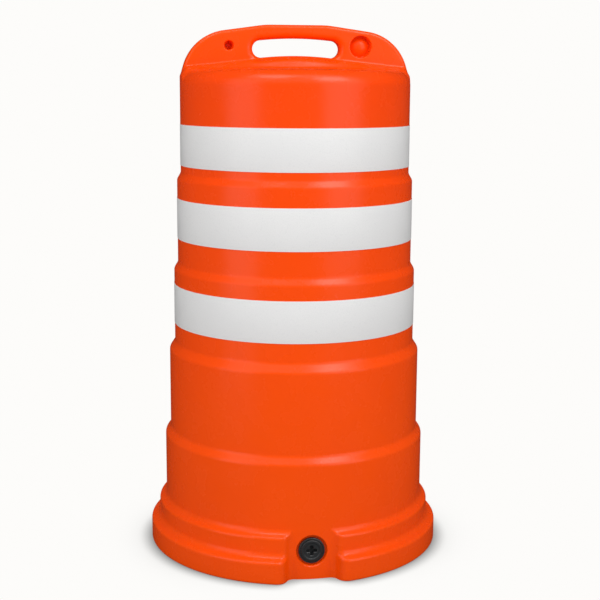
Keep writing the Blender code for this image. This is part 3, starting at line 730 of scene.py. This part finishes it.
def reflective_band(name, tier_radius, middle, material):
    """A strip laid once round the drum, with its end lapped over its start at the back."""
    inner = tier_radius + BAND_GAP
    lap = BAND_LAP / tier_radius
    path = [math.pi / 2 + 2.0 * math.pi * k / BAND_STEPS for k in range(BAND_STEPS + 1)]
    path += [path[-1] + lap * k / 4 for k in range(1, 5)]
    section = filleted(
        [
            (BAND_THICKNESS, BAND_HEIGHT / 2, 0.15 * MM),
            (BAND_THICKNESS, -BAND_HEIGHT / 2, 0.15 * MM),
            (0.0, -BAND_HEIGHT / 2, 0.05 * MM),
            (0.0, BAND_HEIGHT / 2, 0.05 * MM),
        ],
        30.0,
        closed=True,
    )
    ramp = BAND_LAP_RAMP / tier_radius
    rows = []
    for angle in path:
        share = min(1.0, max(0.0, (angle - path[BAND_STEPS] + ramp) / ramp))
        lift = (BAND_THICKNESS + BAND_LAP_GAP) * share * share * (3.0 - 2.0 * share)
        for out, height in section:
            r = inner + lift + out
            rows.append((r * math.cos(angle), r * math.sin(angle), middle + height))
    count = len(section)
    faces = [tuple(range(count)), tuple(reversed(range(len(rows) - count, len(rows))))]
    for k in range(len(path) - 1):
        for j in range(count):
            n = (j + 1) % count
            faces.append((k * count + j, (k + 1) * count + j, (k + 1) * count + n, k * count + n))
    mesh = bpy.data.meshes.new(name)
    mesh.from_pydata(rows, [], faces)
    shape = bmesh.new()
    shape.from_mesh(mesh)
    bmesh.ops.recalc_face_normals(shape, faces=shape.faces)
    shape.to_mesh(mesh)
    shape.free()
    band = smooth(add(mesh, name), 50.0)
    node = name.replace("_band", "_reflective_band")
    finish_piece(band, "drum", "white_reflective_sheeting", material, node)


# Screw fittings

def thread(crest, low, high):
    """A right-handed thread for lathe(): radius over angle and height, fading out at both ends."""
    root = crest - THREAD_DEPTH

    def radius(angle, r, z):
        if abs(r - root) > 0.01 * MM or not low <= z <= high:
            return r
        phase = (z / PITCH - angle / (2.0 * math.pi)) % 1.0
        across = abs(phase - 0.5) * PITCH
        rise = min(1.0, max(0.0, (THREAD_FLANK - across) / (THREAD_FLANK - THREAD_LAND)))
        rise = rise * rise * (3.0 - 2.0 * rise)
        fade = min(1.0, (z - low) / THREAD_FADE, (high - z) / THREAD_FADE)
        return r + THREAD_DEPTH * rise * max(0.0, fade)

    return radius


def shank_rows(radius, top, bottom):
    """Closely spaced rows down a shank, for its thread."""
    count = math.ceil((top - bottom) / THREAD_ROW_STEP)
    return [(radius, top + (bottom - top) * k / count) for k in range(1, count)]


def drain_insert(material):
    """The threaded insert: a flange with a stepped pocket, and a barrel into the tank."""
    bore = DRAIN_THREAD_RADIUS + THREAD_CLEARANCE
    outline = filleted(
        [
            (DRAIN_POCKET_RADIUS, DRAIN_FLANGE_TOP, 0.5 * MM),
            (DRAIN_FLANGE_RADIUS, DRAIN_FLANGE_TOP, 1.5 * MM),
            (DRAIN_FLANGE_RADIUS, SEAT_GAP, 0.3 * MM),
            (DRAIN_BARREL_RADIUS, SEAT_GAP, 0.3 * MM),
            (DRAIN_BARREL_RADIUS, -DRAIN_BARREL_LENGTH, 0.8 * MM),
            (bore, -DRAIN_BARREL_LENGTH, 0.8 * MM),
            (bore, DRAIN_POCKET_FLOOR, 0.4 * MM),
            (DRAIN_POCKET_RADIUS, DRAIN_POCKET_FLOOR, 0.4 * MM),
        ],
        15.0,
        closed=True,
    )
    mesh = towards_front(lathe("drain_insert", outline, FITTING_STEPS, closed=True))
    obj = smooth(add(mesh, "drain_insert"))
    finish_piece(obj, "drum", "black_polypropylene", material, "drain_bushing")


def washer(name, inner, outer, bottom, thickness):
    """A flat ring with rounded edges."""
    edge = 0.35 * thickness
    top = bottom + thickness
    corners = [(inner, top), (outer, top), (outer, bottom), (inner, bottom)]
    outline = filleted([(r, z, edge) for r, z in corners], 30.0, closed=True)
    return lathe(name, outline, FITTING_STEPS, closed=True)


def drain_washer(material):
    bottom = DRAIN_POCKET_FLOOR + SEAT_GAP
    ring = washer("drain_washer", DRAIN_SEAL_INNER, DRAIN_HEAD_RADIUS, bottom, DRAIN_SEAL_THICKNESS)
    obj = smooth(add(towards_front(ring), "drain_washer"))
    finish_piece(obj, "drain_seal", "black_rubber", material, "drain_gasket")


def cross_outline(reach, half):
    """Plan of the key recess: a plus with rounded corners."""
    arm = [(reach, -half, 1.4 * MM), (reach, half, 1.4 * MM), (half, half, 1.0 * MM)]
    corners = []
    for k in range(4):
        turn = Matrix.Rotation(k * math.pi / 2, 2)
        corners += [(*(turn @ Vector(corner[:2])), corner[2]) for corner in arm]
    return filleted(corners, 18.0, closed=True)


def drain_screw_plug(material):
    """The screw plug, with a dished face, a raised rim and a cross-shaped key recess."""
    root = DRAIN_THREAD_RADIUS - THREAD_DEPTH
    under = DRAIN_HEAD_UNDER
    tip = under - SHANK_LENGTH
    crown = filleted(
        [
            (0.0, DRAIN_FACE_TOP, 0.0),
            (DRAIN_FACE_RADIUS, DRAIN_FACE_TOP, 0.8 * MM),
            (DRAIN_RIM_INNER, DRAIN_HEAD_TOP, 0.5 * MM),
            (DRAIN_HEAD_RADIUS, DRAIN_HEAD_TOP, 1.3 * MM),
            (DRAIN_HEAD_RADIUS, under, 0.3 * MM),
            (root, under, 0.2 * MM),
            (root, under - PLAIN_SHANK, 0.0),
        ],
        12.0,
    )
    end = filleted([(root, tip + DRAIN_TIP_EDGE, 0.0), (root, tip, 1.4 * MM), (0.0, tip, 0.0)], 15.0)
    outline = crown + shank_rows(root, under - PLAIN_SHANK, tip + DRAIN_TIP_EDGE) + end
    turns = thread(DRAIN_THREAD_RADIUS, tip + 2.3 * MM, under - 0.8 * MM)
    plug = add(lathe("drain_screw_plug", outline, FITTING_STEPS, shape=turns), "drain_screw_plug")
    outlines = [cross_outline(KEY_REACH + growth, KEY_HALF + growth) for growth, _ in KEY_SECTIONS]
    heights = [DRAIN_FACE_TOP + height for _, height in KEY_SECTIONS]
    key = add(loft("key_recess", outlines, heights), "key_recess")
    combined(plug, "DIFFERENCE", key)
    towards_front(plug.data)
    smooth(plug, 32.0)
    finish_piece(plug, "drain_screw", "black_polypropylene", material, "drain_plug")


def fill_insert(material):
    """The threaded neck in the deck: a flange, and a barrel into the tank."""
    bore = FILL_THREAD_RADIUS + THREAD_CLEARANCE
    outline = filleted(
        [
            (bore, FILL_FLANGE_TOP, 0.5 * MM),
            (FILL_FLANGE_RADIUS, FILL_FLANGE_TOP, 1.3 * MM),
            (FILL_FLANGE_RADIUS, SEAT_GAP, 0.3 * MM),
            (FILL_BARREL_RADIUS, SEAT_GAP, 0.3 * MM),
            (FILL_BARREL_RADIUS, -FILL_BARREL_LENGTH, 0.8 * MM),
            (bore, -FILL_BARREL_LENGTH, 0.8 * MM),
        ],
        15.0,
        closed=True,
    )
    mesh = on_deck(lathe("fill_insert", outline, FITTING_STEPS, closed=True))
    obj = smooth(add(mesh, "fill_insert"))
    finish_piece(obj, "drum", "black_polypropylene", material, "fill_neck")


def fill_washer(material):
    bottom = FILL_FLANGE_TOP + SEAT_GAP
    ring = washer("fill_washer", FILL_SEAL_INNER, FILL_SEAL_OUTER, bottom, FILL_SEAL_THICKNESS)
    obj = smooth(add(on_deck(ring), "fill_washer"))
    finish_piece(obj, "fill_seal", "black_rubber", material, "fill_gasket")


def rounded_bar(name, size, centre, rounding):
    """A box with round edges, for the grip across the cap."""
    shape = bmesh.new()
    bmesh.ops.create_cube(shape, size=1.0)
    bmesh.ops.scale(shape, vec=size, verts=shape.verts)
    bmesh.ops.translate(shape, vec=centre, verts=shape.verts)
    bmesh.ops.bevel(shape, geom=shape.edges[:], offset=rounding, segments=5, profile=0.5, affect="EDGES")
    mesh = bpy.data.meshes.new(name)
    shape.to_mesh(mesh)
    shape.free()
    return mesh


def fill_screw_cap(material):
    """The screw cap: a ribbed disc with a grip bar across it, and a hollow threaded shank."""
    root = FILL_THREAD_RADIUS - THREAD_DEPTH
    hollow = root - FILL_SHANK_WALL
    under = CAP_UNDER
    tip = under - SHANK_LENGTH
    crown = filleted(
        [
            (0.0, CAP_TOP, 0.0),
            (CAP_RADIUS, CAP_TOP, 1.5 * MM),
            (CAP_RADIUS, under, 0.5 * MM),
            (root, under, 0.2 * MM),
            (root, under - PLAIN_SHANK, 0.0),
        ],
        12.0,
    )
    end = filleted(
        [
            (root, tip + FILL_TIP_EDGE, 0.0),
            (root, tip, 0.5 * MM),
            (hollow, tip, 0.5 * MM),
            (hollow, under, 0.8 * MM),
            (0.0, under, 0.0),
        ],
        15.0,
    )
    outline = crown + shank_rows(root, under - PLAIN_SHANK, tip + FILL_TIP_EDGE) + end
    turns = thread(FILL_THREAD_RADIUS, tip + FILL_TIP_EDGE, under - 0.8 * MM)

    def ribbed(angle, r, z):
        if r < CAP_RIB_FROM:
            return turns(angle, r, z)
        dip = max(0.0, math.cos(angle * CAP_RIBS)) ** 0.6
        return r - CAP_RIB_DEPTH * dip * min(1.0, (r - CAP_RIB_FROM) / (1.0 * MM))

    cap = add(lathe("fill_screw_cap", outline, 4 * FITTING_STEPS, shape=ribbed), "fill_screw_cap")
    middle = (0.0, 0.0, CAP_TOP - GRIP_SINK + GRIP_SIZE[2] / 2)
    grip = add(rounded_bar("grip", GRIP_SIZE, middle, GRIP_EDGE), "grip")
    combined(cap, "UNION", grip)
    on_deck(cap.data)
    smooth(cap, 32.0)
    finish_piece(cap, "fill_screw", "black_polypropylene", material, "fill_cap")


# Materials

def new_material(name):
    material = bpy.data.materials.new(name)
    material.use_nodes = True
    return material, material.node_tree, material.node_tree.nodes["Principled BSDF"]


def node(tree, kind, inputs=None, **settings):
    """Adds a shader node; an input is a value, or the output socket that feeds it."""
    made = tree.nodes.new("ShaderNode" + kind)
    for key, value in settings.items():
        setattr(made, key, value)
    for key, value in (inputs or {}).items():
        if isinstance(value, bpy.types.NodeSocket):
            tree.links.new(value, made.inputs[key])
        else:
            made.inputs[key].default_value = value
    return made


def noise(tree, place, scale, detail=3.0, roughness=0.55):
    inputs = {"Vector": place, "Scale": scale, "Detail": detail, "Roughness": roughness}
    return node(tree, "TexNoise", inputs).outputs["Fac"]


def spread(tree, value, low, high, to_low, to_high):
    """Maps low..high to to_low..to_high, held at both ends."""
    inputs = {"Value": value, "From Min": low, "From Max": high, "To Min": to_low, "To Max": to_high}
    return node(tree, "MapRange", inputs).outputs["Result"]


def mix_colors(tree, share, first, second):
    made = node(tree, "Mix", data_type="RGBA")
    for key, value in ((0, share), (6, first), (7, second)):
        if isinstance(value, bpy.types.NodeSocket):
            tree.links.new(value, made.inputs[key])
        else:
            made.inputs[key].default_value = value if key == 0 else (*value, 1.0)
    return made.outputs[2]


def math_node(tree, operation, first, second=0.0):
    return node(tree, "Math", {0: first, 1: second}, operation=operation).outputs[0]


def bump(tree, height, distance, strength=1.0, onto=None):
    inputs = {"Height": height, "Distance": distance, "Strength": strength}
    if onto is not None:
        inputs["Normal"] = onto
    return node(tree, "Bump", inputs).outputs["Normal"]


def orange_polyethylene():
    """Satin moulded polyethylene: soft mottling, a fine skin texture and the mould's parting line."""
    material, tree, shader = new_material("orange_polyethylene")
    place = node(tree, "TexCoord").outputs["Object"]
    xyz = node(tree, "SeparateXYZ", {"Vector": place}).outputs
    height = spread(tree, xyz["Z"], *ORANGE_TURNS, 0.0, 1.0)
    body = mix_colors(tree, height, ORANGE_LOW, ORANGE_HIGH)
    handle = spread(tree, xyz["Z"], *ORANGE_TURNS_BACK, 0.0, 1.0)
    body = mix_colors(tree, handle, body, ORANGE_LOW)
    mottle = spread(tree, noise(tree, place, 7.0, 4.0), 0.3, 0.7, 0.0, 1.0)
    mottled = mix_colors(tree, math_node(tree, "MULTIPLY", mottle, 0.30), body, ORANGE_MOTTLE)
    tree.links.new(mottled, shader.inputs["Base Color"])
    rough = spread(tree, noise(tree, place, 22.0, 5.0), 0.3, 0.7, 0.24, 0.30)
    tree.links.new(rough, shader.inputs["Roughness"])
    skin = bump(tree, noise(tree, place, 420.0, 2.0), 0.12 * MM, 0.35)
    waves = bump(tree, noise(tree, place, 16.0, 2.0), 0.9 * MM, 0.35, skin)
    off_seam = math_node(tree, "ABSOLUTE", xyz["Y"])
    seam = spread(tree, off_seam, 0.25 * MM, 0.9 * MM, 1.0, 0.0)
    tree.links.new(bump(tree, seam, 0.2 * MM, 0.8, waves), shader.inputs["Normal"])
    shader.inputs["Specular IOR Level"].default_value = 0.24
    return material


def white_reflective_sheeting():
    """Smooth retroreflective sheeting: a glossy clear face over a faint cell pattern."""
    material, tree, shader = new_material("white_reflective_sheeting")
    place = node(tree, "TexCoord").outputs["Object"]
    cells = node(tree, "TexVoronoi", {"Vector": place, "Scale": 300.0}, feature="DISTANCE_TO_EDGE")
    edge = spread(tree, cells.outputs["Distance"], 0.0, 0.08, 0.0, 1.0)
    cloud = spread(tree, noise(tree, place, 9.0, 3.0), 0.3, 0.7, 0.0, 1.0)
    face = mix_colors(tree, cloud, SHEETING_DARK, SHEETING_LIGHT)
    color = mix_colors(tree, edge, SHEETING_CELL_EDGE, face)
    tree.links.new(color, shader.inputs["Base Color"])
    rough = spread(tree, noise(tree, place, 30.0, 4.0), 0.3, 0.7, 0.30, 0.40)
    tree.links.new(rough, shader.inputs["Roughness"])
    fine = bump(tree, edge, 0.03 * MM, 0.25)
    tree.links.new(bump(tree, noise(tree, place, 20.0, 2.0), 0.5 * MM, 0.25, fine), shader.inputs["Normal"])
    shader.inputs["Specular IOR Level"].default_value = 0.25
    return material


def black_polypropylene():
    """Satin black polypropylene with a fine grain and lighter scuffs."""
    material, tree, shader = new_material("black_polypropylene")
    place = node(tree, "TexCoord").outputs["Object"]
    scuffs = spread(tree, noise(tree, place, 260.0, 6.0, 0.7), 0.60, 0.75, 0.0, 0.5)
    color = mix_colors(tree, scuffs, POLYPROPYLENE, POLYPROPYLENE_SCUFF)
    tree.links.new(color, shader.inputs["Base Color"])
    rough = spread(tree, noise(tree, place, 120.0, 4.0), 0.3, 0.7, 0.30, 0.46)
    tree.links.new(rough, shader.inputs["Roughness"])
    tree.links.new(bump(tree, noise(tree, place, 900.0, 3.0), 0.05 * MM, 0.4), shader.inputs["Normal"])
    shader.inputs["Specular IOR Level"].default_value = 0.8
    return material


def black_rubber():
    """Matt rubber with a dusty bloom."""
    material, tree, shader = new_material("black_rubber")
    place = node(tree, "TexCoord").outputs["Object"]
    bloom = spread(tree, noise(tree, place, 180.0, 5.0), 0.45, 0.75, 0.0, 0.6)
    color = mix_colors(tree, bloom, RUBBER, RUBBER_BLOOM)
    tree.links.new(color, shader.inputs["Base Color"])
    rough = spread(tree, noise(tree, place, 90.0, 3.0), 0.3, 0.7, 0.68, 0.85)
    tree.links.new(rough, shader.inputs["Roughness"])
    tree.links.new(bump(tree, noise(tree, place, 1400.0, 3.0), 0.04 * MM, 0.5), shader.inputs["Normal"])
    return material


# Studio

def surround_strength(tree):
    """Strength of the white surround: full in the picture, softer as fill light, and low in reflections."""
    rays = node(tree, "LightPath").outputs
    seen = math_node(tree, "MULTIPLY", rays["Is Camera Ray"], 1.0 - FILL_STRENGTH)
    mirrored = math_node(tree, "MULTIPLY", rays["Is Glossy Ray"], FILL_STRENGTH - MIRROR_STRENGTH)
    return math_node(tree, "SUBTRACT", math_node(tree, "ADD", seen, FILL_STRENGTH), mirrored)


def studio_floor():
    """A plain pale floor that glows like a lit sweep, with a soft contact shadow painted into its glow beside
    the drum.
    """
    shape = bmesh.new()
    bmesh.ops.create_circle(shape, cap_ends=True, segments=96, radius=FLOOR_RADIUS)
    mesh = bpy.data.meshes.new("studio_floor")
    shape.to_mesh(mesh)
    shape.free()
    floor = add(mesh, "studio_floor")
    floor.location.z = -0.2 * MM
    material, tree, shader = new_material("pale_floor")
    # Painted shadow: ambient occlusion and a fall-off from the foot darken the floor's glow beside and behind
    # the drum
    touching = node(tree, "AmbientOcclusion", {"Distance": PAINTED_CONTACT_SHADE_REACH}, samples=16).outputs["AO"]
    contact = spread(tree, touching, 0.45, 0.97, 0.45, 1.0)
    place = node(tree, "TexCoord").outputs["Object"]
    out = node(tree, "VectorMath", {0: place}, operation="LENGTH").outputs["Value"]
    away = math_node(tree, "SUBTRACT", out, FOOT_RADIUS)
    fading = math_node(tree, "EXPONENT", math_node(tree, "DIVIDE", away, -PAINTED_SHADOW_REACH))
    forward = node(tree, "SeparateXYZ", {"Vector": place}).outputs["Y"]
    beside = spread(tree, math_node(tree, "DIVIDE", forward, out), -0.97, -0.50, 0.0, PAINTED_SHADOW_DEPTH)
    soft = math_node(tree, "SUBTRACT", 1.0, math_node(tree, "MULTIPLY", fading, beside))
    shade = math_node(tree, "MULTIPLY", contact, soft)
    color = mix_colors(tree, shade, (0.0, 0.0, 0.0), PAPER)
    glow = node(tree, "Emission", {"Color": color, "Strength": surround_strength(tree)})
    tree.links.new(glow.outputs[0], tree.nodes["Material Output"].inputs["Surface"])
    tree.nodes.remove(shader)
    mesh.materials.append(material)


def studio_world():
    world = bpy.data.worlds.new("studio")
    bpy.context.scene.world = world
    world.use_nodes = True
    tree = world.node_tree
    background = tree.nodes["Background"]
    background.inputs["Color"].default_value = (*PAPER, 1.0)
    tree.links.new(surround_strength(tree), background.inputs["Strength"])


def softbox(name, azimuth, elevation, distance, size, radiance, gloss=True, diffuse=True):
    """A soft rectangular light, aimed at the drum. Azimuth 0 is the camera's side, positive to its right."""
    turn = math.radians(azimuth) - CAMERA_YAW
    rise = math.radians(elevation)
    out = Vector((math.sin(turn) * math.cos(rise), -math.cos(turn) * math.cos(rise), math.sin(rise)))
    light = bpy.data.lights.new(name, "AREA")
    light.shape = "RECTANGLE"
    light.size, light.size_y = size
    light.energy = radiance * math.pi * size[0] * size[1]
    lamp = bpy.data.objects.new(name, light)
    bpy.context.scene.collection.objects.link(lamp)
    lamp.location = LIGHTS_AIM + out * distance
    lamp.rotation_euler = (-out).to_track_quat("-Z", "Y").to_euler()
    lamp.visible_camera = False
    lamp.visible_glossy = gloss
    lamp.visible_diffuse = diffuse


def studio_camera():
    camera = bpy.data.cameras.new("camera")
    camera.sensor_width = 36.0
    camera.lens = CAMERA_LENS
    camera.clip_start, camera.clip_end = 0.05, 100.0
    forward = Vector((
        math.sin(CAMERA_YAW) * math.cos(CAMERA_PITCH),
        math.cos(CAMERA_YAW) * math.cos(CAMERA_PITCH),
        -math.sin(CAMERA_PITCH),
    ))
    right = Vector((math.cos(CAMERA_YAW), -math.sin(CAMERA_YAW), 0.0))
    up = right.cross(forward)
    rolled_right = right * math.cos(CAMERA_ROLL) + up * math.sin(CAMERA_ROLL)
    rolled_up = up * math.cos(CAMERA_ROLL) - right * math.sin(CAMERA_ROLL)
    turn = Matrix((rolled_right, rolled_up, -forward)).transposed()
    obj = bpy.data.objects.new("camera", camera)
    bpy.context.scene.collection.objects.link(obj)
    obj.matrix_world = Matrix.Translation(CAMERA_AT) @ turn.to_4x4()
    bpy.context.scene.camera = obj


def build():
    orange = orange_polyethylene()
    white = white_reflective_sheeting()
    black = black_polypropylene()
    rubber = black_rubber()
    moulded_shell(orange)
    for (name, middle), tier in zip(BANDS, TIERS):
        reflective_band(name, tier[0], middle, white)
    drain_insert(black)
    drain_washer(rubber)
    drain_screw_plug(black)
    fill_insert(black)
    fill_washer(rubber)
    fill_screw_cap(black)


studio_camera()
studio_floor()
studio_world()
softbox("left_softbox", -50.0, 14.0, 2.8, (1.6, 3.4), 1.4)
softbox("right_softbox", 46.0, 24.0, 2.8, (1.9, 3.0), 1.7)
softbox("top_softbox", 20.0, 70.0, 2.6, (2.0, 0.7), 1.6)
softbox("upper_left_softbox", -34.0, 64.0, 2.6, (1.1, 0.9), 4.6, diffuse=False)
softbox("upper_right_softbox", 42.0, 50.0, 2.6, (1.0, 1.1), 6.0, diffuse=False)
softbox("front_fill", -6.0, 42.0, 3.2, (2.0, 1.2), 3.3, gloss=False)
softbox("back_fill", 180.0, 30.0, 3.4, (2.2, 1.4), 3.2, gloss=False)
build()
bpy.context.scene.view_settings.view_transform = "Standard"
